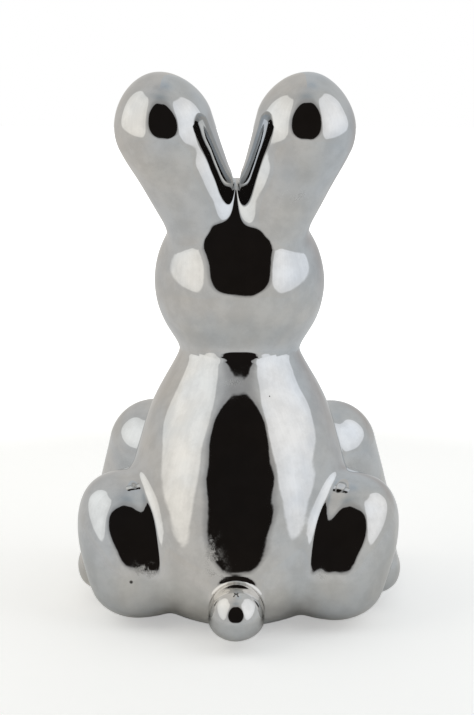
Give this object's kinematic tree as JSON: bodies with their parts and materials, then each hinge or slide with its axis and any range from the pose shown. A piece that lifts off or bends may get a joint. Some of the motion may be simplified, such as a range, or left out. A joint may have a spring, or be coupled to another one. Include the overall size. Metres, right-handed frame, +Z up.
{
  "type": "bunny figurine",
  "caption": "Sitting bunny ornament with a mirror-bright silver glaze, slip cast and hollow, that stands on a flat base with felt pads and a rubber vent plug.",
  "frame": {"origin": "on the table, under the middle of the figure", "axes": "+Z up, the bunny faces -Y, +X towards the bunny's own left"},
  "size_m": [0.1524, 0.1548, 0.2426],
  "materials": {
    "metallic_glaze": "mirror-bright silver lustre glaze over cast earthenware, with faint waves, pinholes and dust",
    "plug_rubber": "matt moulded rubber",
    "pad_felt": "pressed wool felt"
  },
  "bodies": {
    "root": {"body": "metallic_glaze", "head": "metallic_glaze", "left_ear": "metallic_glaze", "right_ear": "metallic_glaze", "left_foreleg": "metallic_glaze", "right_foreleg": "metallic_glaze", "left_hind_leg": "metallic_glaze", "right_hind_leg": "metallic_glaze", "tail": "metallic_glaze", "vent_plug": "plug_rubber", "felt_pad_front_left": "pad_felt", "felt_pad_front_right": "pad_felt", "felt_pad_rear_left": "pad_felt", "felt_pad_rear_right": "pad_felt"}
  },
  "joints": []
}
